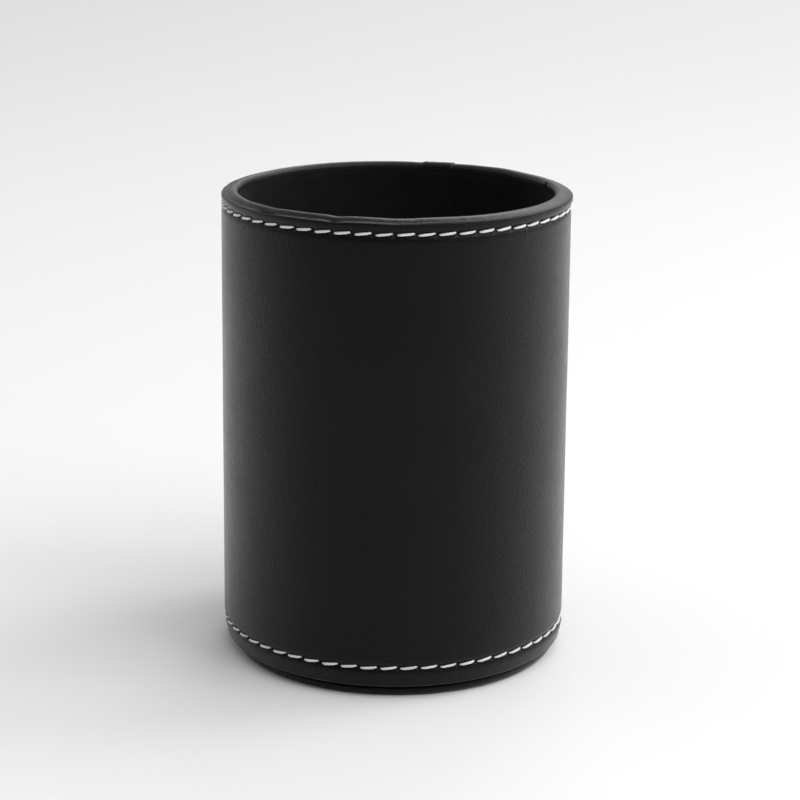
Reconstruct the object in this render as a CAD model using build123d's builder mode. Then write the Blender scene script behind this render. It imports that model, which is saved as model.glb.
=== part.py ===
from build123d import *
import os
from math import cos, degrees, floor, pi, radians, sin

# A pencil cup: a greyboard tube covered in black imitation leather, with a velvet faced sleeve inside
# and a leather covered disc underneath. Millimetres, +Z up, the origin on the table under the middle
# of the cup. The front is towards -Y.

# Overall size, over the leather
cup_diameter = 80.0
cup_height = 108.0

# Layers of the wall, from the outside in
wrap_thickness = 0.9
core_thickness = 2.0
turn_in_thickness = 0.6
lining_thickness = 0.75

# How the leather is folded over the board's edges
rim_crown = 0.25
rim_outer_rounding = 2.0
foot_taper = 0.9
foot_taper_height = 3.2
rim_turn_in_depth = 11.0
foot_turn_in_width = 8.0

# The lap of the leather's two ends, up the back: the upper end stops at this angle from +X
lap_angle = 68.8
lap_width = 7.7
lap_rise = 0.3

# Foot disc, set in from the wall's face all round, and the board above it
foot_disc_inset = 1.9
foot_disc_height = 2.1
foot_disc_easing = 0.6
foot_skin_thickness = 0.5
base_board_thickness = 2.0

# Lining sleeve: how far it stops below the rim, and its upright joint, as an angle from +X
lining_drop = 1.7
lining_joint_angle = 15.0
lining_joint_gap = 0.3

# The two rows of lockstitch
stitch_pitch = 4.48
stitch_slant = 0.4
stitch_gap = 0.8
thread_width = 0.65
thread_height = 0.5
thread_groove_width = 2.4
thread_groove_depth = 0.45
rim_row_drop = 2.36
base_row_height = 5.15
rim_row_start = 1.35
base_row_start = 2.95
row_end_margin = 0.9

# Radii of the layers
cup_radius = cup_diameter / 2
core_outer = cup_radius - wrap_thickness
core_inner = core_outer - core_thickness
turn_in_inner = core_inner - turn_in_thickness
lining_inner = turn_in_inner - lining_thickness
foot_disc_radius = cup_radius - foot_disc_inset
foot_card_radius = foot_disc_radius - foot_skin_thickness
foot_turn_in_inner = cup_radius - foot_turn_in_width

# The rim's inner rounding ends at the lining's upper edge, and is cut in two facets that meet here
rim_inner_rounding = lining_drop
rim_inner_facet = rim_inner_rounding * (1 - cos(radians(45)))

# Heights of the layers
wrap_bottom = foot_disc_height
core_bottom = wrap_bottom + wrap_thickness
core_top = cup_height - wrap_thickness
turn_in_end = core_top - rim_turn_in_depth
base_board_top = core_bottom + base_board_thickness
floor_top = base_board_top + lining_thickness
lining_top = cup_height - lining_drop
rim_row = cup_height - rim_row_drop
foot_row = wrap_bottom + base_row_height


def degrees_along(length):
    """Angle that a length round the leather's outer face spans."""
    return degrees(length / cup_radius)


lap_sweep = degrees_along(lap_width)
pitch_angle = degrees_along(stitch_pitch)
gap_angle = degrees_along(stitch_gap)


def radial_plane(angle):
    """Upright plane through the cup's axis: local x points outwards, local y up."""
    turn = radians(angle)
    return Plane(origin=(0, 0, 0), x_dir=(cos(turn), sin(turn), 0), z_dir=(sin(turn), -cos(turn), 0))


def wrap_section(angle, rise):
    """Leather cut across the wall, folded over the rim and under the foot, thicker outside by the rise.

    The fold over the rim is rounded both ways, highest a little inside the middle, and ends flush with
    the lining, over its upper edge.
    """
    face = cup_radius + rise
    top = cup_height + rise
    with BuildSketch(radial_plane(angle)) as section:
        with BuildLine():
            FilletPolyline(
                (foot_turn_in_inner, wrap_bottom),
                (face - foot_taper, wrap_bottom),
                (face, wrap_bottom + foot_taper_height),
                (face, top - rim_crown),
                (lining_inner + rim_inner_rounding, top),
                radius=[0, 0, rim_outer_rounding],
            )
            Polyline(
                (lining_inner + rim_inner_rounding, top),
                (lining_inner + rim_inner_facet, top - rim_inner_facet),
                (lining_inner, lining_top),
                (turn_in_inner, lining_top),
                (turn_in_inner, turn_in_end),
                (core_inner, turn_in_end),
                (core_inner, core_top),
                (core_outer, core_top),
                (core_outer, core_bottom),
                (foot_turn_in_inner, core_bottom),
                (foot_turn_in_inner, wrap_bottom),
            )
        make_face()
    return section.sketch


def thread_groove(height):
    """Hollow that the hidden thread presses into the leather's back, cut across."""
    with BuildSketch(radial_plane(lap_angle)) as section:
        Polygon(
            (core_outer, height - thread_groove_width / 2),
            (core_outer + thread_groove_depth, height),
            (core_outer, height + thread_groove_width / 2),
            align=None,
        )
    return section.sketch


def hole_angles(row_start):
    """Needle holes of a row, from the upper end of the leather all round to its lower end."""
    first = lap_angle + degrees_along(row_start)
    stitches = floor((pi * cup_diameter - row_start - row_end_margin) / stitch_pitch)
    return [first + hole * pitch_angle for hole in range(stitches + 1)]


def needle_section(angle, height, inner):
    """Visible thread cut across, flattened on the leather."""
    with BuildSketch(radial_plane(angle)) as section:
        Polygon(
            (inner, height - thread_width / 2),
            (inner + thread_height, height - thread_width / 4),
            (inner + thread_height, height + thread_width / 4),
            (inner, height + thread_width / 2),
            align=None,
        )
    return section.sketch


def bobbin_section(angle, height, inner, thickness):
    """Hidden thread cut across, pressed against the board."""
    with BuildSketch(radial_plane(angle)) as section:
        Polygon(
            (inner, height - thread_width / 2),
            (inner + thickness, height),
            (inner, height + thread_width / 2),
            align=None,
        )
    return section.sketch


def needle_run(row_start, row_height):
    """Cross sections of the visible thread: each stitch climbs to its right, then steps back down."""
    sections = []
    for hole in hole_angles(row_start)[:-1]:
        left = hole + gap_angle / 2
        right = hole + pitch_angle - gap_angle / 2
        rise = lap_rise if left < lap_angle + lap_sweep + gap_angle else 0
        resting = (cup_radius + rise) / cos(radians((right - left) / 2))
        sections.append(needle_section(left, row_height - stitch_slant / 2, resting))
        sections.append(needle_section(right, row_height + stitch_slant / 2, resting))
    return sections


def bobbin_run(row_start, row_height):
    """Cross sections of the hidden thread, pulled straight from hole to hole behind the leather."""
    inner = core_outer / cos(radians(pitch_angle / 2))
    thickness = thread_groove_depth - 2 * (inner - core_outer)
    return [bobbin_section(hole, row_height, inner, thickness) for hole in hole_angles(row_start)]


# Greyboard tube
with BuildPart() as core_tube:
    with BuildSketch(Plane.XY.offset(core_bottom)):
        Circle(core_outer)
        Circle(core_inner, mode=Mode.SUBTRACT)
    extrude(amount=core_top - core_bottom)

# Board disc glued inside the tube's lower end
with BuildPart() as base_board:
    with BuildSketch(Plane.XY.offset(core_bottom)):
        Circle(core_inner)
    extrude(amount=base_board_thickness)

# Leather, folded over the rim and under the foot, thicker up the back where its ends lap
with BuildPart() as outer_wrap:
    revolve(wrap_section(lap_angle, lap_rise), revolution_arc=lap_sweep)
    revolve(wrap_section(lap_angle + lap_sweep, 0), revolution_arc=360 - lap_sweep)
    revolve(thread_groove(rim_row), mode=Mode.SUBTRACT)
    revolve(thread_groove(foot_row), mode=Mode.SUBTRACT)

# The visible thread of each row, and the hidden one that it locks with behind the leather
with BuildPart() as rim_needle_thread:
    loft(needle_run(rim_row_start, rim_row), ruled=True)

with BuildPart() as rim_bobbin_thread:
    loft(bobbin_run(rim_row_start, rim_row), ruled=True)

with BuildPart() as base_needle_thread:
    loft(needle_run(base_row_start, foot_row), ruled=True)

with BuildPart() as base_bobbin_thread:
    loft(bobbin_run(base_row_start, foot_row), ruled=True)

# Velvet faced sleeve round the inside wall, its ends meeting in an upright joint
with BuildPart() as lining_sleeve:
    with BuildSketch(Plane.XY.offset(floor_top)):
        Circle(turn_in_inner)
        Circle(lining_inner, mode=Mode.SUBTRACT)
        with PolarLocations(lining_inner, 1, start_angle=lining_joint_angle):
            Rectangle(3 * lining_thickness, lining_joint_gap, mode=Mode.SUBTRACT)
    extrude(amount=lining_top - floor_top)

# Velvet faced disc on the base board
with BuildPart() as floor_lining:
    with BuildSketch(Plane.XY.offset(base_board_top)):
        Circle(turn_in_inner)
    extrude(amount=lining_thickness)

# Foot disc: a card in a thin leather skin, which the cup stands on
with BuildPart() as foot_skin:
    with BuildSketch():
        Circle(foot_disc_radius)
    extrude(amount=foot_disc_height)
    chamfer(foot_skin.edges().group_by(Axis.Z)[0], length=foot_disc_easing)
    with BuildSketch(Plane.XY.offset(foot_skin_thickness)):
        Circle(foot_card_radius)
    extrude(amount=foot_disc_height - foot_skin_thickness, mode=Mode.SUBTRACT)

with BuildPart() as foot_card:
    with BuildSketch(Plane.XY.offset(foot_skin_thickness)):
        Circle(foot_card_radius)
    extrude(amount=foot_disc_height - foot_skin_thickness)

pieces = {
    "core_tube": core_tube,
    "base_board": base_board,
    "outer_wrap": outer_wrap,
    "rim_needle_thread": rim_needle_thread,
    "rim_bobbin_thread": rim_bobbin_thread,
    "base_needle_thread": base_needle_thread,
    "base_bobbin_thread": base_bobbin_thread,
    "lining_sleeve": lining_sleeve,
    "floor_lining": floor_lining,
    "foot_skin": foot_skin,
    "foot_card": foot_card,
}

os.makedirs("parts", exist_ok=True)
for name, piece in pieces.items():
    piece.part.label = name
    export_step(piece.part, f"parts/{name}.step")
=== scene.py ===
import bpy
import math
from mathutils import Matrix, Vector, noise


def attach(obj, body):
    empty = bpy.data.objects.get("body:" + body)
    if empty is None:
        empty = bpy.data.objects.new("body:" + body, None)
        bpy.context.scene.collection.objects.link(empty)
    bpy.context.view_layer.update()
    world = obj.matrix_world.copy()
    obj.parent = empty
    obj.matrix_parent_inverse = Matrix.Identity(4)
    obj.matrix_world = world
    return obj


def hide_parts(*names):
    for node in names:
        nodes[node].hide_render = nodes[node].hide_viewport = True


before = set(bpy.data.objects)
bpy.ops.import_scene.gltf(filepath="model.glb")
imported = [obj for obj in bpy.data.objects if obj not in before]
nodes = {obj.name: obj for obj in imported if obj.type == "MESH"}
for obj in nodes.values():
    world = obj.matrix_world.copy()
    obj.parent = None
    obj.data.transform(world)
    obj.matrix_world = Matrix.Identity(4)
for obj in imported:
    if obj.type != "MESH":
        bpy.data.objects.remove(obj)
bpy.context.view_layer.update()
print("frame loaded:", len(nodes), "nodes")

mm = 0.001

# What every piece of the cup is fitted to, in mm and degrees; angles go round from +X
cup = {
    "radius": 40.0,
    "height": 108.0,
    "wrapThickness": 0.9,
    "boardOuter": 39.1,
    "boardInner": 37.1,
    "boardBottom": 3.0,
    "boardTop": 107.1,
    "turnInInner": 36.5,    # inner face of the leather that is turned in at the rim
    "wrapBottom": 2.1,      # where the leather rests on the foot disc
    "lapStart": 68.8,       # cut edge of the leather's upper end
    "lapWidth": 7.7,
    "lapRise": 0.3,
    "stitchPitch": 4.48,
    "rimRowHeight": 104.82,
    "baseRowHeight": 7.4,
    "rimRowOut": -0.34,     # how far the wall's face stands off the radius at each row
    "baseRowOut": 0.13,
    "rimRowStart": 1.35,    # first needle hole, past the cut edge
    "baseRowStart": 2.95,
    "rowEndMargin": 0.9,
    "rimRowSpread": 1.8,    # degrees by which the stitches at the sides are set further back
    "baseRowSpread": 0.7,
    "baseRowDip": 0.25,     # how much lower the base row lies at the two sides
    "dipPower": 4.0,        # the higher, the closer to the two sides it stays
    "pressedLeather": 38.5,     # radius of the leather's back where the stitching presses it in
    "pressedBoard": 38.15,
    "pressedWidth": 1.8,    # half height of that hollow at its mouth, and the share that is flat
    "pressedFlat": 0.6,
}
perMillimetre = math.degrees(1 / cup["radius"])     # degrees round the wall for 1 mm
lapEnd = cup["lapStart"] + cup["lapWidth"] * perMillimetre
pitchAngle = cup["stitchPitch"] * perMillimetre


def wallOut(z):
    # the wall widens a little from rim to foot
    share = (cup["rimRowHeight"] - z) / (cup["rimRowHeight"] - cup["baseRowHeight"])
    return cup["rimRowOut"] + (cup["baseRowOut"] - cup["rimRowOut"]) * min(1.0, max(0.0, share))


def stitchesIn(rowStart):
    length = 2 * math.pi * cup["radius"]
    return math.floor((length - rowStart - cup["rowEndMargin"]) / cup["stitchPitch"])


def holeAngles(rowStart, rowSpread):
    first = cup["lapStart"] + rowStart * perMillimetre
    even = [first + i * pitchAngle for i in range(stitchesIn(rowStart) + 1)]
    return [angle + rowSpread * math.cos(math.radians(angle)) for angle in even]


def pressedIn(row, radius):
    # hollow that a tight row of stitches presses in behind the leather, from its upper edge down
    wide, outer = cup["pressedWidth"], cup["boardOuter"]
    flat = wide * cup["pressedFlat"]
    return [(outer, row + wide), (radius, row + flat), (radius, row - flat), (outer, row - wide)]


# Shapes and noise
def smooth(x):
    x = min(1.0, max(0.0, x))
    return x * x * (3 - 2 * x)


def fadeIn(value, start, length):
    # 0 before the start and 1 after the length; a negative length fades in downwards
    return smooth((value - start) / length)


def bell(x, width):
    return math.exp(-(x / width) ** 2)


def angleApart(a, b):
    return abs((a - b + 180) % 360 - 180)


def onCircle(angle, radius, height):
    turn = math.radians(angle)
    return Vector((radius * math.cos(turn), radius * math.sin(turn), height)) * mm


def roundNoise(angle, height, size, seed):
    # noise that closes on itself round the cup: its size in mm, and a seed that picks its pattern
    turn = math.radians(angle)
    radius = cup["radius"] / size
    place = (radius * math.cos(turn) + seed, radius * math.sin(turn), height / size + seed)
    return noise.noise(Vector(place))


def layeredNoise(angle, layers):
    # each layer is a size in mm, a share and a seed
    return sum(share * roundNoise(angle, 0.0, size, seed) for size, share, seed in layers)


def arcPoints(centre, radius, start, stop, count):
    steps = [math.radians(start + (stop - start) * i / count) for i in range(count + 1)]
    return [(centre[0] + radius * math.cos(t), centre[1] + radius * math.sin(t)) for t in steps]


def spread(start, stop, step):
    # even places from start on, without the stop itself
    count = max(1, round(abs(stop - start) / step))
    return [start + (stop - start) * i / count for i in range(count)]


def meshObject(name, points, faces, material):
    mesh = bpy.data.meshes.new(name)
    mesh.from_pydata(points, [], faces)
    mesh.materials.append(material)
    mesh.validate()
    mesh.shade_smooth()
    piece = bpy.data.objects.new(name, mesh)
    bpy.context.scene.collection.objects.link(piece)
    return piece


def ringPoints(angles, profileAt):
    # one column of points for each angle
    points = [onCircle(angle, r, z) for angle in angles for r, z in profileAt(angle)]
    return points, len(points) // len(angles)


def ringMesh(name, angles, profileAt, material, joined=True):
    # a closed profile carried round the axis, and joined to itself or closed at its two ends
    points, rows = ringPoints(angles, profileAt)
    columns = len(angles)
    faces = []
    for column in range(columns if joined else columns - 1):
        here, there = column * rows, (column + 1) % columns * rows
        for row in range(rows):
            nextRow = (row + 1) % rows
            faces.append((here + row, there + row, there + nextRow, here + nextRow))
    if not joined:
        faces.append(tuple(range(rows)))
        faces.append(tuple(reversed(range((columns - 1) * rows, columns * rows))))
    return meshObject(name, points, faces, material)


def panMesh(name, angles, profileAt, low, high, material):
    # a profile carried round the axis, closed at the axis by a point at each of two heights
    points, rows = ringPoints(angles, profileAt)
    lowest, highest = len(points), len(points) + 1
    points += [onCircle(0, 0, low), onCircle(0, 0, high)]
    faces = []
    for column in range(len(angles)):
        here, there = column * rows, (column + 1) % len(angles) * rows
        faces.append((lowest, there, here))
        faces += [(here + row, there + row, there + row + 1, here + row + 1) for row in range(rows - 1)]
        faces.append((highest, here + rows - 1, there + rows - 1))
    return meshObject(name, points, faces, material)


# Nodes
def addNode(tree, kind, inputs=None, **settings):
    node = tree.nodes.new(kind)
    for name, value in settings.items():
        setattr(node, name, value)
    for key, value in (inputs or {}).items():
        if isinstance(value, bpy.types.NodeSocket):
            tree.links.new(value, node.inputs[key])
        else:
            node.inputs[key].default_value = value
    return node


def calc(tree, operation, a, b=0.0, c=0.0):
    return addNode(tree, "ShaderNodeMath", {0: a, 1: b, 2: c}, operation=operation).outputs[0]


def vectorCalc(tree, operation, inputs):
    return addNode(tree, "ShaderNodeVectorMath", inputs, operation=operation).outputs[0]


def newMaterial(name):
    material = bpy.data.materials.new(name)
    material.use_nodes = True
    tree = material.node_tree
    shader = tree.nodes["Principled BSDF"]
    place = addNode(tree, "ShaderNodeTexCoord").outputs["Object"]
    inMillimetres = addNode(tree, "ShaderNodeMapping", {"Vector": place, "Scale": [1 / mm] * 3})
    return material, tree, shader, inMillimetres.outputs["Vector"]


def setSockets(shader, values):
    for name, value in values.items():
        shader.inputs[name].default_value = value


def noiseOf(tree, place, size, detail=2.0, roughness=0.5):
    return addNode(
        tree, "ShaderNodeTexNoise",
        {"Vector": place, "Scale": 1 / size, "Detail": detail, "Roughness": roughness},
    ).outputs["Fac"]


def mapped(tree, value, given, wanted=(0.0, 1.0)):
    return addNode(tree, "ShaderNodeMapRange", {
        "Value": value, "From Min": given[0], "From Max": given[1], "To Min": wanted[0], "To Max": wanted[1],
    }).outputs["Result"]


def twoNoises(tree, a, shareA, b, shareB):
    return calc(tree, "ADD", calc(tree, "MULTIPLY", a, shareA), calc(tree, "MULTIPLY", b, shareB))


def mixedColour(tree, factor, colourA, colourB):
    mix = addNode(tree, "ShaderNodeMix", {0: factor}, data_type="RGBA")
    mix.inputs[6].default_value = (*colourA, 1)
    mix.inputs[7].default_value = (*colourB, 1)
    return mix.outputs[2]


def bumpOf(tree, height, depth, normal=None):
    # depth in mm for a height of 1
    inputs = {"Height": height, "Distance": depth * mm, "Strength": 1.0}
    if normal is not None:
        inputs["Normal"] = normal
    return addNode(tree, "ShaderNodeBump", inputs).outputs["Normal"]


# Black leather-look covering; sizes in mm
leather = {
    "colour": (0.0022, 0.0022, 0.0025),
    "wornColour": (0.0036, 0.0036, 0.0040),
    "wornSize": 17.0,
    "wornRange": (0.35, 0.7),
    "grainSize": 0.62,          # between the grain's creases
    "grainDepth": 0.05,
    "creaseWidth": 0.3,         # share of a grain cell
    "wobbleScale": 1.1,
    "wobble": 0.5,
    "poreSize": 0.16,
    "poreDepth": 0.008,
    "poreRoughness": 0.6,
    "patchSize": 3.2,
    "patchShare": 0.6,
    "patchRange": (0.5, 1.1),
    "roughness": (0.36, 0.46),
    "faceOn": 0.18,             # share of the gloss that is left when seen square on
    "finish": 0.6,              # thin clear finish, seen at the edges
    "finishRoughness": 0.25,
    "finishIor": 1.18,
    "pleatSize": 0.55,          # between the fine pleats of the gathered rim
    "pleatDepth": 0.2,
    "pleatRoughness": 0.55,
    "pleatDrift": 0.35,         # how much the pleats change from the rim's top to its side
    "paintedHighlightColour": (0.017, 0.017, 0.018),       # painted highlight: a lighter colour painted on the inside of the fold over the rim, standing in for light catching it
}


def pleatsAround(tree, place, values):
    # noise of the direction from the axis only, so that the pleats run along the radius
    axes = addNode(tree, "ShaderNodeSeparateXYZ", {0: place}).outputs
    flat = addNode(tree, "ShaderNodeCombineXYZ", {0: axes[0], 1: axes[1]}).outputs[0]
    towards = vectorCalc(tree, "NORMALIZE", {0: flat})
    around = vectorCalc(tree, "SCALE", {0: towards, 3: cup["radius"]})
    lower = calc(tree, "MULTIPLY", axes[2], values["pleatDrift"])
    drift = addNode(tree, "ShaderNodeCombineXYZ", {2: lower}).outputs[0]
    pleatPlace = vectorCalc(tree, "ADD", {0: around, 1: drift})
    gather = addNode(tree, "ShaderNodeAttribute", attribute_name="gather").outputs["Fac"]
    pleats = noiseOf(tree, pleatPlace, values["pleatSize"], 2.0, values["pleatRoughness"])
    return calc(tree, "MULTIPLY", pleats, gather)


def makeLeather(name, values):
    material, tree, shader, place = newMaterial(name)
    wobble = addNode(tree, "ShaderNodeTexNoise", {
        "Vector": place, "Scale": values["wobbleScale"], "Detail": 2.0,
    }).outputs["Color"]
    bent = vectorCalc(tree, "SCALE", {0: wobble, 3: values["wobble"]})
    cells = addNode(
        tree, "ShaderNodeTexVoronoi",
        {"Vector": vectorCalc(tree, "ADD", {0: place, 1: bent}), "Scale": 1 / values["grainSize"]},
        feature="DISTANCE_TO_EDGE",
    ).outputs["Distance"]
    grain = mapped(tree, cells, (0.0, values["creaseWidth"]))
    pores = noiseOf(tree, place, values["poreSize"], 3.0, values["poreRoughness"])
    broad = noiseOf(tree, place, values["wornSize"], 3.0)
    patches = noiseOf(tree, place, values["patchSize"], 2.0)

    # colour: worn in broad areas, and a painted highlight, a lighter colour, on the inside of the fold
    wear = mapped(tree, broad, values["wornRange"])
    worn = mixedColour(tree, wear, values["colour"], values["wornColour"])
    # painted highlight: the lighter colour on the fold's inside stands in for light catching it
    highlightShare = addNode(tree, "ShaderNodeAttribute", attribute_name="paintedHighlight").outputs["Fac"]
    whole = addNode(tree, "ShaderNodeMix", {
        0: highlightShare, 6: worn, 7: (*values["paintedHighlightColour"], 1),
    }, data_type="RGBA")
    tree.links.new(whole.outputs[2], shader.inputs["Base Color"])

    # gloss: uneven, weak when seen square on
    uneven = calc(tree, "ADD", broad, calc(tree, "MULTIPLY", patches, values["patchShare"]))
    gloss = mapped(tree, uneven, values["patchRange"], values["roughness"])
    tree.links.new(gloss, shader.inputs["Roughness"])
    setSockets(shader, {
        "Base Color": (*values["colour"], 1),
        "Specular Tint": (*[values["faceOn"]] * 3, 1),
        "Coat Weight": values["finish"],
        "Coat Roughness": values["finishRoughness"],
        "Coat IOR": values["finishIor"],
    })

    # relief: pores, grain and the gathered rim's pleats
    fine = bumpOf(tree, pores, values["poreDepth"])
    grained = bumpOf(tree, grain, values["grainDepth"], fine)
    pleated = bumpOf(tree, pleatsAround(tree, place, values), values["pleatDepth"], grained)
    tree.links.new(pleated, shader.inputs["Normal"])
    return material


# Black velvet of the lining
velvet = {
    "colour": (0.0062, 0.0062, 0.0067),
    "napColour": (0.0130, 0.0130, 0.0139),
    "pileSize": 0.14,
    "pileDepth": 0.05,
    "pileRoughness": 0.7,
    "pileShare": 0.5,
    "brushedSize": 5.0,
    "brushedShare": 0.7,
    "toneRange": (0.4, 0.85),
    "roughness": 0.95,
    "ior": 1.25,
    "sheen": 0.08,
    "sheenRoughness": 0.30,
}


def makeVelvet(name, values):
    material, tree, shader, place = newMaterial(name)
    pile = noiseOf(tree, place, values["pileSize"], 2.0, values["pileRoughness"])
    brushed = noiseOf(tree, place, values["brushedSize"], 3.0)
    both = twoNoises(tree, pile, values["pileShare"], brushed, values["brushedShare"])
    tone = mapped(tree, both, values["toneRange"])
    colour = mixedColour(tree, tone, values["colour"], values["napColour"])
    tree.links.new(colour, shader.inputs["Base Color"])
    setSockets(shader, {
        "Roughness": values["roughness"],
        "IOR": values["ior"],
        "Sheen Weight": values["sheen"],
        "Sheen Roughness": values["sheenRoughness"],
    })
    tree.links.new(bumpOf(tree, pile, values["pileDepth"]), shader.inputs["Normal"])
    return material


# White thread of the two rows
thread = {
    "colour": (0.93, 0.92, 0.90),
    "shadeColour": (0.80, 0.785, 0.75),
    "fibreSize": 0.09,
    "fibreDepth": 0.03,
    "fibreRoughness": 0.6,
    "fibreShare": 0.6,
    "stitchShare": 0.4,         # how much one stitch's tone differs from the next
    "toneRange": (0.2, 0.75),
    "roughness": 0.62,
    "sheen": 0.25,
}


def makeThread(name, values):
    material, tree, shader, place = newMaterial(name)
    fibres = noiseOf(tree, place, values["fibreSize"], 3.0, values["fibreRoughness"])
    shade = addNode(tree, "ShaderNodeAttribute", attribute_name="stitchShade").outputs["Fac"]
    both = twoNoises(tree, fibres, values["fibreShare"], shade, values["stitchShare"])
    tone = mapped(tree, both, values["toneRange"])
    colour = mixedColour(tree, tone, values["shadeColour"], values["colour"])
    tree.links.new(colour, shader.inputs["Base Color"])
    setSockets(shader, {"Roughness": values["roughness"], "Sheen Weight": values["sheen"]})
    tree.links.new(bumpOf(tree, fibres, values["fibreDepth"]), shader.inputs["Normal"])
    return material


# Greyboard of the tube, the base and the foot's card
greyboard = {
    "colour": (0.36, 0.34, 0.31),
    "fleckColour": (0.22, 0.21, 0.2),
    "fleckSize": 0.7,
    "fleckRoughness": 0.7,
    "fleckRange": (0.45, 0.7),
    "layerSize": 0.35,
    "layerDepth": 0.05,
    "roughness": 0.9,
}


def makeGreyboard(name, values):
    material, tree, shader, place = newMaterial(name)
    flecks = noiseOf(tree, place, values["fleckSize"], 4.0, values["fleckRoughness"])
    layers = noiseOf(tree, place, values["layerSize"], 2.0)
    tone = mapped(tree, flecks, values["fleckRange"])
    colour = mixedColour(tree, tone, values["colour"], values["fleckColour"])
    tree.links.new(colour, shader.inputs["Base Color"])
    setSockets(shader, {"Roughness": values["roughness"]})
    tree.links.new(bumpOf(tree, layers, values["layerDepth"]), shader.inputs["Normal"])
    return material


leatherMaterial = makeLeather("black_leather", leather)
velvetMaterial = makeVelvet("black_velvet", velvet)
threadMaterial = makeThread("white_thread", thread)
boardMaterial = makeGreyboard("grey_board", greyboard)
print("materials made")

# The velvet sleeve's sizes come before the leather, whose fold over the rim ends at the sleeve's top
lining = {
    "inner": 35.75,
    "outer": 36.42,
    "bottom": 5.75,
    "top": 106.1,
    "topLift": 0.2,             # the sleeve comes up this much higher at the side of the next angle
    "liftAngle": 200.0,
    "topWave": 0.05,
    "topNoise": (7.0, 2.4),
    "faceWave": 0.05,
    "faceNoise": (18.0, 9.1),
    "rounding": 0.25,
    "jointAngle": 16.5,
    "jointGap": 0.3,
    "columns": 480,
    "innerRings": (20, 40, 60, 80, 95, 101, 104),       # heights of its rings of points
    "outerRings": (95, 50),
}


def sleeveTop(angle):
    lift = lining["topLift"] * math.cos(math.radians(angle - lining["liftAngle"]))
    return lining["top"] + lift + lining["topWave"] * roundNoise(angle, 0.0, *lining["topNoise"])


# Leather wrap
wrap = {
    "columns": 920,
    "edgeStep": 0.04,           # degrees from the cut edge to the face that it lies on
    "rimTurn": 0.6,             # rounding where the wall's face turns in to the rim's slope
    "rimSlope": 28.0,           # steepest fall of that slope, in degrees
    "rimInner": 1.15,           # rounding from the rim's crest down to the inside
    "rimRise": 0.03,
    "rimWave": 0.03,
    "rimWaves": ((11.0, 1.0, 1.7), (4.5, 0.6, 4.2)),
    "turnInDepth": 11.0,
    "lipInset": 0.1,            # how far the fold's inside is set back from the lining's face
    "lipTuck": 0.08,            # how far the fold's lower edge reaches below the sleeve's top
    "lipStep": 0.25,
    "footRounding": 0.8,
    "footLift": 0.45,           # how far the turn under the foot stands over the foot disc
    "underWidth": 8.0,
    "underMargin": 0.8,         # flat part under the foot stops this far short of the turn
    "hemTop": 6.6,              # below this height the wall draws in towards the foot
    "hemMiddle": 4.0,
    "hemIn": 0.48,              # how far it has drawn in at the middle height
    "hemCurve": 1.2,
    "seamReach": 2.6,           # height above and below a row that it bends
    "rowValley": 0.42,          # how far a row of stitches pulls the leather in
    "rowValleyWidth": 0.85,
    "holeDepth": 0.45,
    "holeLength": 0.6,          # half length of the slanted needle cut
    "holeWidth": 0.34,
    "holeLean": 58.0,           # degrees from level
    "pleatDepth": 0.11,
    "pleatLayers": ((1.15, 1.0, 3.1), (0.575, 0.5, 8.7)),
    "pleatStrength": (0.55, 0.9),
    "pleatNoise": (14.0, 5.5),
    "leastPleats": 0.15,
    "pleatInwards": 0.4,        # how far a pleat moves the fold's inside sideways, as a share
    "leastGather": 0.12,
    "notchDepth": 0.5,          # crease in the fold at the lining's joint
    "notchWidth": 0.7,
    "fullAngle": 350.0,         # side where the wall bulges out over and under the rows
    "fullWidth": 32.0,
    "rimFull": 0.34,
    "hemFull": 0.22,
    "leftAngle": 228.0,         # side where the rim's slope falls more steeply
    "leftWidth": 42.0,
    "leftFall": 0.5,
    "leftRadius": 38.9,
    "wallWave": 0.035,
    "wallNoise": (24.0, 6.3),
}
# Spacing of the rings of points, closest at the rows of stitches, and how far it reaches from a row or
# from the lining's top
ringStep = {"hem": 0.5, "row": 0.2, "wall": 5.0, "underRim": 0.4, "turnIn": 3.0, "under": 2.0}
ringReach = {"baseRow": 1.5, "underRim": 2.0, "rimRow": 1.2, "turnIn": 1.2}

# Where the bends of the leather fade in: a radius or a height in mm, and a length
fade = {
    "wall": (37.6, 1.6),            # radius: the wall's own bends
    "foldTop": (36.0, 1.0),         # radius: from the fold's inside to its top
    "foldInside": (lining["top"], 0.9),
    "rimOutside": (cup["height"] - 2.2, 1.8),
    "lap": (2.0, 1.5),
    "overRow": (cup["rimRowHeight"] + 0.2, 1.2),
    "underRow": (cup["baseRowHeight"] - 0.6, -1.2),
    "notchLow": (lining["top"] - 0.1, 0.3),
    "notchHigh": (cup["height"] - 0.1, -0.5),
    "gatherHeight": (106.6, 0.8),
    "gatherRadius": (39.4, -0.9),
    "paintedHighlight": (35.9, 1.0),            # radius: where the painted highlight on the fold's inside fades out
    "lapEnd": (lapEnd - 0.9, 1.8),  # degrees: where the lower end stops underneath
}
foldMiddle = 38.0       # radius inside which a point belongs to the fold's inner side
insideLow, insideHigh = lining["top"] - 0.01, cup["height"] - 1     # inner side that follows the sleeve
# lowest height of the painted highlight on the fold's inside
paintedHighlightLowest = lining["top"] - 0.5

# Places where the fold over the rim stands high or low: angle, height in mm, width in degrees
rimBumps = [
    (36, -0.10, 6), (48, 0.08, 7), (76, -0.19, 9), (110, 0.07, 14), (147, -0.13, 9), (171.5, -0.16, 1.6),
    (208, -0.11, 6), (224.5, -0.17, 4), (250.7, -0.22, 3), (271, -0.20, 8), (300, -0.12, 14),
    (326, -0.06, 12),
]
# How tightly the fold is gathered into fine pleats: angle, strength, width
gatheredAt = [
    (276, 0.9, 8), (298, 1.0, 14), (320, 0.7, 12), (75, 0.8, 8), (15, 0.6, 12), (120, 0.3, 30),
    (215, 0.2, 25),
]


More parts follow.
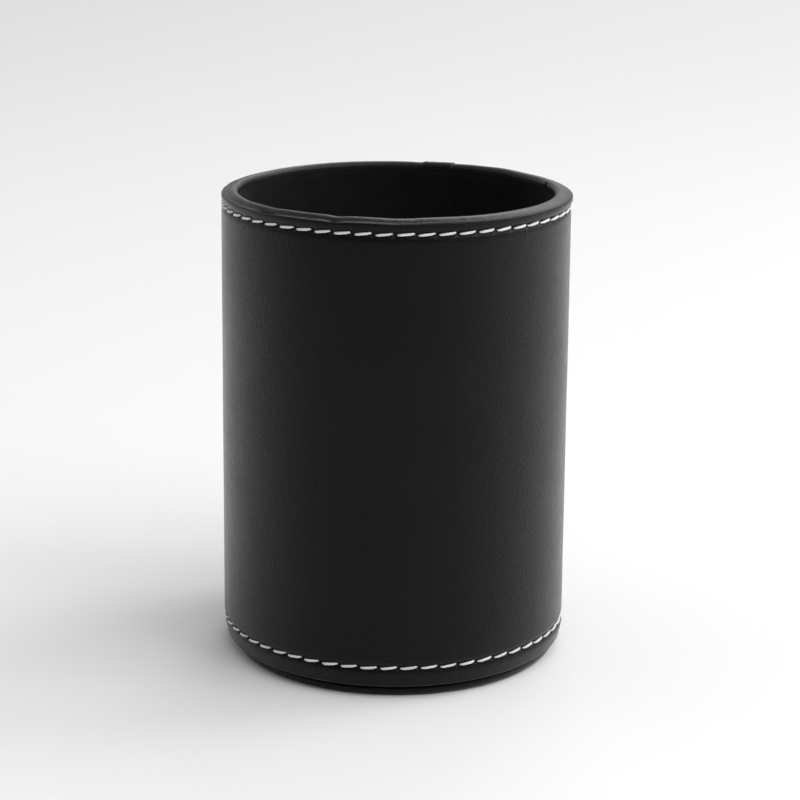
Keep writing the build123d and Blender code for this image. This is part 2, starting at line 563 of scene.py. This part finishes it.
def hemDraw(z):
    # how far the wall is drawn in at a height near the foot
    share = max(0.0, wrap["hemTop"] - z) / (wrap["hemTop"] - wrap["hemMiddle"])
    return wrap["hemIn"] * share ** wrap["hemCurve"]


def wallHeights(low, high):
    baseRow, rimRow = cup["baseRowHeight"], cup["rimRowHeight"]
    edges = [
        (baseRow - ringReach["baseRow"], "hem"),
        (baseRow + ringReach["baseRow"], "row"),
        (rimRow - ringReach["underRim"], "wall"),
        (rimRow - ringReach["rimRow"], "underRim"),
        (high, "row"),
    ]
    heights = []
    for edge, step in edges:
        heights += spread(low, edge, ringStep[step])
        low = edge
    return heights


def rimSection(lipRadius):
    # height where the wall's face ends, and the points from there over the rim to the fold's inside
    r, top, inner, turn = cup["radius"], cup["height"], wrap["rimInner"], wrap["rimTurn"]
    steepest = 90 - wrap["rimSlope"]
    crest = lipRadius + inner
    slopeRadius = (r - turn - crest) / math.cos(math.radians(steepest)) + turn
    turnHeight = top - slopeRadius + (slopeRadius - turn) * math.sin(math.radians(steepest))
    points = arcPoints((r - turn, turnHeight), turn, 0, steepest, 4)[:-1]
    points += arcPoints((crest, top - slopeRadius), slopeRadius, steepest, 90, 7)[:-1]
    points += arcPoints((crest, top - inner), inner, 90, 180, 6)
    return turnHeight, points


def wrapProfile():
    # corners from under the foot, up the wall, over the rim and down the turn-in, then back inside the sheet
    r, top, low = cup["radius"], cup["height"], cup["wrapBottom"]
    soft, lipBottom, turnIn = wrap["footRounding"], lining["top"], cup["turnInInner"]
    lipRadius = lining["inner"] + wrap["lipInset"]
    turnHeight, rim = rimSection(lipRadius)
    wallFoot = low + wrap["footLift"] + soft
    corner = r - hemDraw(wallFoot) - soft
    underEdge = r - wrap["underWidth"]
    lipStart = top - wrap["rimInner"] - wrap["lipStep"]
    turnInStart, turnInEnd = lipBottom - ringReach["turnIn"], top - wrap["turnInDepth"]
    face = [(x, low) for x in spread(underEdge, corner - wrap["underMargin"], ringStep["under"])]
    face += arcPoints((corner, wallFoot), soft, -90, 0, 5)[:-1]
    face += [(r - hemDraw(z), z) for z in wallHeights(wallFoot, turnHeight)]
    face += rim
    face += [(lipRadius, z) for z in spread(lipStart, lipBottom, wrap["lipStep"])]
    face += [(lipRadius, lipBottom), (turnIn, lipBottom)]
    face += [(turnIn, z) for z in spread(turnInStart, turnInEnd, ringStep["turnIn"])]
    sheetEnd = turnInEnd - cup["wrapThickness"]
    back = [(turnIn, sheetEnd), (cup["boardInner"], sheetEnd)]
    back += [(cup["boardInner"], cup["boardTop"]), (cup["boardOuter"], cup["boardTop"])]
    back += pressedIn(cup["rimRowHeight"], cup["pressedLeather"])
    back += pressedIn(cup["baseRowHeight"], cup["pressedLeather"])
    back += [(cup["boardOuter"], cup["boardBottom"]), (underEdge, cup["boardBottom"])]
    return face, back


wrapFace, wrapBack = wrapProfile()

# Height, dip at the sides and needle holes of each row
seamRows = [
    (cup["rimRowHeight"], 0.0, holeAngles(cup["rimRowStart"], cup["rimRowSpread"])),
    (cup["baseRowHeight"], cup["baseRowDip"], holeAngles(cup["baseRowStart"], cup["baseRowSpread"])),
]


def sideDip(angle, dip):
    return dip * math.cos(math.radians(angle)) ** cup["dipPower"]


def nearestHole(angle, holes):
    # only the holes about as many stitches round as the angle is are compared
    about = round((angle - holes[0]) / pitchAngle)
    near = holes[max(0, min(about, len(holes)) - 2):about + 3]
    return min((angle - hole for hole in near), key=abs) / perMillimetre


def seamPull(angle, z):
    # depth, in mm, that the stitching presses the leather in
    lean = math.radians(wrap["holeLean"])
    pull = 0.0
    for height, dip, holes in seamRows:
        dz = z - height + sideDip(angle, dip)
        if abs(dz) > wrap["seamReach"]:
            continue
        dx = nearestHole(angle, holes)
        along = dx * math.cos(lean) + dz * math.sin(lean)
        across = -dx * math.sin(lean) + dz * math.cos(lean)
        pull += wrap["rowValley"] * bell(dz, wrap["rowValleyWidth"])
        pull += wrap["holeDepth"] * bell(along, wrap["holeLength"]) * bell(across, wrap["holeWidth"])
    return pull


def pleatAt(angle):
    plain, varied = wrap["pleatStrength"]
    strength = max(wrap["leastPleats"], plain + varied * roundNoise(angle, 0.0, *wrap["pleatNoise"]))
    return wrap["pleatDepth"] * layeredNoise(angle, wrap["pleatLayers"]) * strength


def rimLift(angle):
    lift = wrap["rimRise"] + wrap["rimWave"] * layeredNoise(angle, wrap["rimWaves"])
    return lift + sum(height * bell(angleApart(angle, at), width) for at, height, width in rimBumps)


def gatherAt(angle):
    tight = sum(share * bell(angleApart(angle, at), width) for at, share, width in gatheredAt)
    return min(1.0, wrap["leastGather"] + tight)


def lapLift(angle):
    # full height at the cut edge, soft where the lower end stops underneath
    return cup["lapRise"] * (1 - fadeIn(angle, *fade["lapEnd"]))


def wrapAt(angle):
    lap, lift, pleat = lapLift(angle), rimLift(angle), pleatAt(angle) * gatherAt(angle)
    notch = wrap["notchDepth"] * bell(angleApart(angle, lining["jointAngle"]), wrap["notchWidth"])
    steeper = wrap["leftFall"] * bell(angleApart(angle, wrap["leftAngle"]), wrap["leftWidth"])
    fuller = bell(angleApart(angle, wrap["fullAngle"]), wrap["fullWidth"])
    tucked = sleeveTop(angle) - wrap["lipTuck"] - lining["top"]
    points = []
    for x, z in wrapFace:
        inwards = x < foldMiddle
        onRim = fadeIn(z, *fade["foldInside" if inwards else "rimOutside"])
        inside = 1 - fadeIn(x, *fade["foldTop"])
        onWall = fadeIn(x, *fade["wall"])
        folded = onRim * pleat
        pull = seamPull(angle, z) if onWall > 0 else 0
        wave = wrap["wallWave"] * roundNoise(angle, z, *wrap["wallNoise"]) * (1 - onRim)
        full = wrap["rimFull"] * fadeIn(z, *fade["overRow"]) + wrap["hemFull"] * fadeIn(z, *fade["underRow"])
        bent = lap * fadeIn(z, *fade["lap"]) + wallOut(z) + wave + fuller * full - pull
        cut = notch * inside * fadeIn(z, *fade["notchLow"]) * fadeIn(z, *fade["notchHigh"])
        rise = onRim * (lap + lift - steeper * bell(x - wrap["leftRadius"], 1.0))
        if inwards and insideLow < z < insideHigh:
            rise += (1 - onRim) * tucked
        points.append((x + onWall * bent + wrap["pleatInwards"] * folded * inside + cut, z + rise + folded))
    return points + wrapBack


def markWrap(name, strengthAt):
    # a value for every point of the wrap, which its material reads
    mark = leatherWrap.data.attributes.new(name, "FLOAT", "POINT")
    mark.data.foreach_set("value", [
        strengthAt(angle, x, z) for angle in wrapAngles for x, z in wrapFace + wrapBack
    ])


def gatherMark(angle, x, z):
    return gatherAt(angle) * fadeIn(z, *fade["gatherHeight"]) * fadeIn(x, *fade["gatherRadius"])


# a lighter colour painted on the fold's inside, as a painted highlight
def paintedHighlightMark(angle, x, z):
    return 1 - fadeIn(x, *fade["paintedHighlight"]) if z > paintedHighlightLowest else 0


columnStep = 360 / wrap["columns"]
wrapAngles = [cup["lapStart"] + i * columnStep for i in range(wrap["columns"])]
wrapAngles.append(cup["lapStart"] + 360 - wrap["edgeStep"])
leatherWrap = ringMesh("leather_wrap", wrapAngles, wrapAt, leatherMaterial)
markWrap("gather", gatherMark)
# marks the fold's inside for its painted highlight
markWrap("paintedHighlight", paintedHighlightMark)
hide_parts("outer_wrap")
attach(leatherWrap, "root")
print("leather wrap:", len(leatherWrap.data.polygons), "faces")

# Stitches: sizes in mm, and ranges that chance picks from
stitch = {
    "length": 4.15,             # from inside one needle hole to inside the next
    "plyRadius": 0.155,
    "plyOffset": 0.165,
    "plies": 3,
    "twists": 1.6,
    "slant": 0.42,              # how much higher the right end is
    "rest": -0.2,               # height of the thread's middle over the unpressed leather
    "crown": 0.06,              # how far the middle stands over the rest
    "sink": 0.85,               # how deep the ends go
    "sinkPower": 5.0,           # the higher, the nearer to its end a stitch dives
    "bend": 0.07,               # how far each end curls up or down
    "taperPower": 2.8,
    "thinEnds": 0.55,           # shares by which the plies get thinner and closer at the ends
    "tightEnds": 0.7,
    "flattened": 0.75,
    "rings": 13,
    "sides": 6,
    "alongRange": (-0.012, 0.012),      # share of the pitch
    "heightRange": (-0.05 * mm, 0.05 * mm),
    "slantRange": (-0.022, 0.022),
    "lengthRange": (0.985, 1.01),
    "widthRange": (0.95, 1.06),
    "thicknessRange": (0.95, 1.05),
}


def stitchInputs(tree, values):
    # names, kinds and first values of what a user can change on a row
    floats = {
        "First Angle": 0.0,
        "Pitch Angle": math.radians(pitchAngle),
        "Row Radius": cup["radius"] * mm,
        "Row Height": cup["rimRowHeight"] * mm,
        "Side Dip": 0.0,
        "Side Spread": 0.0,
        "Lap End": math.radians(lapEnd),
        "Lap Rise": cup["lapRise"] * mm,
        "Stitch Length": values["length"] * mm,
        "Slant": values["slant"] / values["length"],
        "Ply Radius": values["plyRadius"] * mm,
        "Ply Offset": values["plyOffset"] * mm,
        "Twists": values["twists"],
        "Rest Height": values["rest"] * mm,
        "End Sink": values["sink"] * mm,
        "End Bend": values["bend"] * mm,
    }
    inputs = [("Stitches", "NodeSocketInt", 55), ("Seed", "NodeSocketInt", 4)]
    inputs += [(name, "NodeSocketFloat", value) for name, value in floats.items()]
    for name, kind, value in inputs:
        tree.interface.new_socket(name=name, in_out="INPUT", socket_type=kind).default_value = value
    tree.interface.new_socket(name="Material", in_out="INPUT", socket_type="NodeSocketMaterial")
    tree.interface.new_socket(name="Geometry", in_out="OUTPUT", socket_type="NodeSocketGeometry")
    return addNode(tree, "NodeGroupInput").outputs


def stitchPlies(tree, given, values):
    # lines bent down into both holes and wound round the thread's middle, swept with a circle
    along = addNode(tree, "GeometryNodeSplineParameter").outputs["Factor"]
    centred = calc(tree, "SUBTRACT", along, 0.5)
    fromMiddle = calc(tree, "MULTIPLY", centred, 2.0)
    distance = calc(tree, "ABSOLUTE", fromMiddle)
    dive = calc(tree, "POWER", distance, values["sinkPower"])
    taper = calc(tree, "POWER", distance, values["taperPower"])
    crown = calc(tree, "SUBTRACT", 1.0, calc(tree, "POWER", distance, 2.0))
    curl = calc(tree, "MULTIPLY", calc(tree, "POWER", fromMiddle, values["sinkPower"]), given["End Bend"])
    tightness = calc(tree, "SUBTRACT", 1.0, calc(tree, "MULTIPLY", taper, values["tightEnds"]))
    thin = calc(tree, "SUBTRACT", 1.0, calc(tree, "MULTIPLY", taper, values["thinEnds"]))
    offset = calc(tree, "MULTIPLY", given["Ply Offset"], tightness)
    x = calc(tree, "MULTIPLY", centred, given["Stitch Length"])
    height = calc(tree, "MULTIPLY_ADD", crown, values["crown"] * mm, given["Rest Height"])
    height = calc(tree, "SUBTRACT", height, calc(tree, "MULTIPLY", dive, given["End Sink"]))
    circle = addNode(tree, "GeometryNodeCurvePrimitiveCircle", {
        "Resolution": values["sides"], "Radius": given["Ply Radius"],
    }).outputs[0]
    wound = calc(tree, "MULTIPLY", along, given["Twists"])
    joined = addNode(tree, "GeometryNodeJoinGeometry")
    for ply in range(values["plies"]):
        turn = calc(tree, "MULTIPLY_ADD", wound, 2 * math.pi, 2 * math.pi * ply / values["plies"])
        y = calc(tree, "MULTIPLY_ADD", offset, calc(tree, "COSINE", turn), curl)
        raised = calc(tree, "MULTIPLY", offset, calc(tree, "SINE", turn))
        z = calc(tree, "ADD", height, calc(tree, "MULTIPLY", raised, values["flattened"]))
        place = addNode(tree, "ShaderNodeCombineXYZ", {0: x, 1: y, 2: z}).outputs[0]
        line = addNode(tree, "GeometryNodeCurvePrimitiveLine").outputs[0]
        line = addNode(tree, "GeometryNodeResampleCurve", {
            "Curve": line, "Count": values["rings"],
        }).outputs[0]
        line = addNode(tree, "GeometryNodeSetPosition", {"Geometry": line, "Position": place}).outputs[0]
        line = addNode(tree, "GeometryNodeSetCurveRadius", {"Curve": line, "Radius": thin}).outputs[0]
        ends = {"Curve": line, "Profile Curve": circle, "Fill Caps": True, "Scale": thin}
        tree.links.new(addNode(tree, "GeometryNodeCurveToMesh", ends).outputs[0], joined.inputs[0])
    return joined.outputs[0]


def stitchTree(values):
    # one thread of twisted plies, set at every stitch of a row
    tree = bpy.data.node_groups.new("stitchRow", "GeometryNodeTree")
    given = stitchInputs(tree, values)
    plies = stitchPlies(tree, given, values)
    row = addNode(tree, "GeometryNodeMeshLine", {"Count": given["Stitches"]}).outputs[0]
    index = addNode(tree, "GeometryNodeInputIndex").outputs[0]

    def randomIn(limits, shift):
        return addNode(tree, "FunctionNodeRandomValue", {
            2: limits[0], 3: limits[1], "ID": index, "Seed": calc(tree, "ADD", given["Seed"], shift),
        }, data_type="FLOAT").outputs[1]

    # where each stitch lies: on the wall, facing outwards, one end higher
    middle = calc(tree, "ADD", calc(tree, "ADD", index, 0.5), randomIn(values["alongRange"], 1))
    even = calc(tree, "ADD", given["First Angle"], calc(tree, "MULTIPLY", middle, given["Pitch Angle"]))
    angle = calc(tree, "MULTIPLY_ADD", calc(tree, "COSINE", even), given["Side Spread"], even)
    onLap = calc(tree, "LESS_THAN", angle, given["Lap End"])
    radius = calc(tree, "MULTIPLY_ADD", onLap, given["Lap Rise"], given["Row Radius"])
    cosine, sine = calc(tree, "COSINE", angle), calc(tree, "SINE", angle)
    sideways = calc(tree, "POWER", calc(tree, "ABSOLUTE", cosine), cup["dipPower"])
    uneven = calc(tree, "ADD", given["Row Height"], randomIn(values["heightRange"], 2))
    height = calc(tree, "SUBTRACT", uneven, calc(tree, "MULTIPLY", sideways, given["Side Dip"]))
    spot = addNode(tree, "ShaderNodeCombineXYZ", {
        0: calc(tree, "MULTIPLY", radius, cosine), 1: calc(tree, "MULTIPLY", radius, sine), 2: height,
    }).outputs[0]
    row = addNode(tree, "GeometryNodeSetPosition", {"Geometry": row, "Position": spot}).outputs[0]
    outwards = addNode(tree, "ShaderNodeCombineXYZ", {0: cosine, 1: sine}).outputs[0]
    rising = calc(tree, "ADD", given["Slant"], randomIn(values["slantRange"], 3))
    lengthways = addNode(tree, "ShaderNodeCombineXYZ", {
        0: calc(tree, "MULTIPLY", sine, -1.0), 1: cosine, 2: rising,
    }).outputs[0]
    facing = addNode(tree, "FunctionNodeAxesToRotation", {0: outwards, 1: lengthways},
                     primary_axis="Z", secondary_axis="X").outputs[0]
    size = addNode(tree, "ShaderNodeCombineXYZ", {
        0: randomIn(values["lengthRange"], 4),
        1: randomIn(values["widthRange"], 5),
        2: randomIn(values["thicknessRange"], 6),
    }).outputs[0]
    placed = addNode(tree, "GeometryNodeInstanceOnPoints", {
        "Points": row, "Instance": plies, "Rotation": facing, "Scale": size,
    }).outputs[0]
    shaded = addNode(tree, "GeometryNodeStoreNamedAttribute", {
        "Geometry": placed, "Name": "stitchShade",
    }, data_type="FLOAT", domain="INSTANCE")
    tree.links.new(randomIn((0.0, 1.0), 7), shaded.inputs["Value"])
    real = addNode(tree, "GeometryNodeRealizeInstances", {0: shaded.outputs[0]}).outputs[0]
    soft = addNode(tree, "GeometryNodeSetShadeSmooth", {0: real}).outputs[0]
    dressed = addNode(tree, "GeometryNodeSetMaterial", {
        "Geometry": soft, "Material": given["Material"],
    }).outputs[0]
    addNode(tree, "NodeGroupOutput", {0: dressed})
    return tree


def makeWithNodes(name, tree, inputs):
    # runs the tree on an empty mesh and keeps what it makes as a plain mesh
    piece = bpy.data.objects.new(name, bpy.data.meshes.new(name + "_start"))
    bpy.context.scene.collection.objects.link(piece)
    modifier = piece.modifiers.new(name, "NODES")
    modifier.node_group = tree
    sockets = {s.name: s.identifier for s in tree.interface.items_tree if s.in_out == "INPUT"}
    for key, value in inputs.items():
        modifier[sockets[key]] = value
    bpy.context.view_layer.update()
    graph = bpy.context.evaluated_depsgraph_get()
    mesh = bpy.data.meshes.new_from_object(piece.evaluated_get(graph))
    piece.modifiers.remove(modifier)
    piece.data = mesh
    mesh.name = name
    return piece


stitchNodes = stitchTree(stitch)
for name, node, row, dip, seed in (
    ("rim_stitches", "rim_needle_thread", "rimRow", 0.0, 4),
    ("base_stitches", "base_needle_thread", "baseRow", cup["baseRowDip"], 23),
):
    rowStart = cup[row + "Start"]
    stitches = makeWithNodes(name, stitchNodes, {
        "Stitches": stitchesIn(rowStart),
        "First Angle": math.radians(cup["lapStart"] + rowStart * perMillimetre),
        "Row Height": cup[row + "Height"] * mm,
        "Row Radius": (cup["radius"] + cup[row + "Out"]) * mm,
        "Side Dip": dip * mm,
        "Side Spread": math.radians(cup[row + "Spread"]),
        "Seed": seed,
        "Material": threadMaterial,
    })
    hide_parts(node)
    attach(stitches, "root")
    print(name + ":", len(stitches.data.polygons), "faces")


# Velvet lining
def sleeveAt(angle):
    outer, top, soft = lining["outer"], sleeveTop(angle), lining["rounding"]
    inner = lining["inner"] + lining["faceWave"] * roundNoise(angle, 0.0, *lining["faceNoise"])
    section = [(inner, z) for z in (lining["bottom"], *lining["innerRings"])]
    section += arcPoints((inner + soft, top - soft), soft, 180, 90, 4)
    section += arcPoints((outer - soft, top - soft), soft, 90, 0, 4)
    section += [(outer, z) for z in (*lining["outerRings"], lining["bottom"])]
    return list(reversed(section))


gapAngle = math.degrees(lining["jointGap"] / lining["inner"])
sleeveStart = lining["jointAngle"] + gapAngle / 2
sleeveSweep = 360 - gapAngle
sleeveAngles = [sleeveStart + sleeveSweep * i / lining["columns"] for i in range(lining["columns"] + 1)]
velvetSleeve = ringMesh("velvet_sleeve", sleeveAngles, sleeveAt, velvetMaterial, joined=False)
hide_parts("lining_sleeve")
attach(velvetSleeve, "root")
print("velvet sleeve:", len(velvetSleeve.data.polygons), "faces")

# Foot disc: a leather cover round a card
foot = {
    "radius": 38.0,
    "height": 2.1,
    "rounding": 1.5,
    "topRounding": 0.5,
    "skin": 0.5,
    "wave": 0.08,
    "noise": (16.0, 7.7),
    "columns": 240,
    "underRings": (8, 18, 27, 33),
    "cardChamfer": (0.8, 0.6),  # how far in and up the card's lower edge is cut back
    "offCentre": 0.45,          # the disc is glued on a little towards this side
    "offAngle": 325.0,
}


def footEdge(angle):
    edge = foot["radius"] + foot["wave"] * roundNoise(angle, 0.0, *foot["noise"])
    return edge + foot["offCentre"] * math.cos(math.radians(angle - foot["offAngle"]))


def cardSection(angle):
    # underside and edge of the card, and of the hollow it lies in, from the middle outwards
    edge, skin = footEdge(angle) - foot["skin"], foot["skin"]
    cutIn, cutUp = foot["cardChamfer"]
    return [(foot["underRings"][0], skin), (edge - cutIn, skin), (edge, skin + cutUp), (edge, foot["height"])]


def coverSection(angle):
    edge, soft, topSoft = footEdge(angle), foot["rounding"], foot["topRounding"]
    outside = [(r, 0.0) for r in foot["underRings"]]
    outside += arcPoints((edge - soft, soft), soft, -90, 0, 6)
    outside += arcPoints((edge - topSoft, foot["height"] - topSoft), topSoft, 0, 90, 5)
    return outside + list(reversed(cardSection(angle)))


def wholeCardSection(angle):
    return cardSection(angle) + [(foot["underRings"][0], foot["height"])]


footAngles = [360 * i / foot["columns"] for i in range(foot["columns"])]
footCover = panMesh("foot_cover", footAngles, coverSection, 0.0, foot["skin"], leatherMaterial)
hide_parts("foot_skin")
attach(footCover, "root")

footBoard = panMesh(
    "foot_board", footAngles, wholeCardSection, foot["skin"], foot["height"], boardMaterial,
)
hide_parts("foot_card")
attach(footBoard, "root")
print("foot disc made")

# Board tube, pressed in behind the rows
tubeColumns = 180
tubeOutside = [(cup["boardOuter"], cup["boardTop"])]
for height in (cup["rimRowHeight"], cup["baseRowHeight"]):
    tubeOutside += pressedIn(height, cup["pressedBoard"])
tubeOutside += [(cup["boardOuter"], cup["boardBottom"])]
tubeInside = [(cup["boardInner"], cup["boardBottom"]), (cup["boardInner"], cup["boardTop"])]
tubeSection = [tubeInside[0], *reversed(tubeOutside), tubeInside[1]]
tubeAngles = [360 * i / tubeColumns for i in range(tubeColumns)]
boardTube = ringMesh("board_tube", tubeAngles, lambda angle: tubeSection, boardMaterial)
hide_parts("core_tube")
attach(boardTube, "root")

# Hidden threads, which the visible ones lock with behind the leather
hiddenThread = {"thickness": 0.3, "width": 0.65, "clearance": 0.02}
for name, node, row in (
    ("rim_hidden_thread", "rim_bobbin_thread", "rimRow"),
    ("base_hidden_thread", "base_bobbin_thread", "baseRow"),
):
    height, holes = cup[row + "Height"], holeAngles(cup[row + "Start"], cup[row + "Spread"])
    near, halfWidth = cup["pressedBoard"] + hiddenThread["clearance"], hiddenThread["width"] / 2
    section = [
        (near, height - halfWidth), (near + hiddenThread["thickness"], height), (near, height + halfWidth),
    ]
    hidden = ringMesh(name, holes, lambda angle: section, threadMaterial, joined=False)
    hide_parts(node)
    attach(hidden, "root")
print("board tube and hidden threads made")

# The CAD pieces that stay
for name, material in (("base_board", boardMaterial), ("floor_lining", velvetMaterial)):
    mesh = nodes[name].data
    if mesh.materials:
        for index in range(len(mesh.materials)):
            mesh.materials[index] = material
    else:
        mesh.materials.append(material)
print("CAD pieces dressed")

# Floor, in metres
floorLook = {"size": 6.0, "colour": (0.93, 0.93, 0.93), "roughness": 0.9, "ior": 1.2}
half = floorLook["size"] / 2
floorMesh = bpy.data.meshes.new("floor")
corners = [(-half, -half, 0), (half, -half, 0), (half, half, 0), (-half, half, 0)]
floorMesh.from_pydata(corners, [], [(0, 1, 2, 3)])
floor = bpy.data.objects.new("floor", floorMesh)
bpy.context.scene.collection.objects.link(floor)
floorMaterial, _, floorShader, _ = newMaterial("pale_floor")
setSockets(floorShader, {
    "Base Color": (*floorLook["colour"], 1), "Roughness": floorLook["roughness"], "IOR": floorLook["ior"],
})
floorMesh.materials.append(floorMaterial)

# Lamps: place and size in metres, power in watts
lamps = {
    "rightFront": {"at": (0.862, -0.498, 0.886), "size": 0.8, "power": 4.35},
    "right": {"at": (1.061, 0.093, 0.796), "size": 0.8, "power": 3.55},
    "left": {"at": (-1.145, 0.1, 1.014), "size": 1.0, "power": 1.3},
    "front": {"at": (0.36, -0.72, 1.197), "size": 1.0, "power": 4.2},
    "farRight": {"at": (2.43, 1.133, 2.3), "size": 1.4, "power": 24.4},
    "farBack": {"at": (0.498, 2.823, 2.057), "size": 1.4, "power": 16.0},
    "farRightBack": {"at": (1.301, 2.253, 2.392), "size": 1.4, "power": 6.6},
    "farAbove": {"at": (0.927, 0.0, 2.903), "size": 1.5, "power": 4.4},
}
lampTarget = Vector((0, 0, 0.05))


def areaLight(name, values):
    data = bpy.data.lights.new(name, "AREA")
    data.energy = values["power"]
    data.size = values["size"]
    lamp = bpy.data.objects.new(name, data)
    lamp.location = values["at"]
    lamp.rotation_euler = (lampTarget - lamp.location).to_track_quat("-Z", "Y").to_euler()
    lamp.visible_camera = False
    bpy.context.scene.collection.objects.link(lamp)


for name, values in lamps.items():
    areaLight(name + "_light", values)

# The room round the cup, dark in front and pale behind and above
room = {
    "front": 0.0,
    "back": 0.485,
    "above": 0.447,
    "backRange": (-0.35, 0.35),     # directions over which one goes over to the next
    "aboveRange": (0.25, 0.8),
}
world = bpy.data.worlds.new("studio")
bpy.context.scene.world = world
world.use_nodes = True
sky = world.node_tree
background = sky.nodes["Background"]
direction = addNode(sky, "ShaderNodeTexCoord").outputs["Generated"]
parts = addNode(sky, "ShaderNodeSeparateXYZ", {0: direction}).outputs
behind = mapped(sky, parts[1], room["backRange"], (room["front"], room["back"]))
above = mapped(sky, parts[2], room["aboveRange"])
lit = addNode(sky, "ShaderNodeMix", {0: above, 2: behind, 3: room["above"]}, data_type="FLOAT").outputs[0]
background.inputs["Color"].default_value = (1, 1, 1, 1)
sky.links.new(lit, background.inputs["Strength"])
print("floor and light set")

# Camera, at the photograph's viewing angle: metres and degrees
lens = {
    "eye": (0.0, -0.48902, 0.19291),
    "down": 15.416,
    "turn": 0.142,
    "roll": 0.5105,
    "pixels": 2178.7,       # focal length in pixels of the picture's width
    "width": 800,
    "sensor": 36,
    "nearest": 0.02,
    "farthest": 20,
}
cameraData = bpy.data.cameras.new("camera")
cameraData.sensor_width = lens["sensor"]
cameraData.lens = lens["pixels"] * lens["sensor"] / lens["width"]
cameraData.clip_start, cameraData.clip_end = lens["nearest"], lens["farthest"]
camera = bpy.data.objects.new("camera", cameraData)
bpy.context.scene.collection.objects.link(camera)
down, turn, roll = (math.radians(lens[k]) for k in ("down", "turn", "roll"))
forward = Vector((math.sin(turn) * math.cos(down), math.cos(turn) * math.cos(down), -math.sin(down)))
right = forward.cross(Vector((0, 0, 1))).normalized()
up = right.cross(forward)
across = math.cos(roll) * right + math.sin(roll) * up
upright = -math.sin(roll) * right + math.cos(roll) * up
rows = Matrix((across, upright, -forward)).transposed().to_4x4()
camera.matrix_world = Matrix.Translation(Vector(lens["eye"])) @ rows
bpy.context.scene.camera = camera
bpy.context.scene.view_settings.view_transform = "Standard"

bpy.context.view_layer.update()
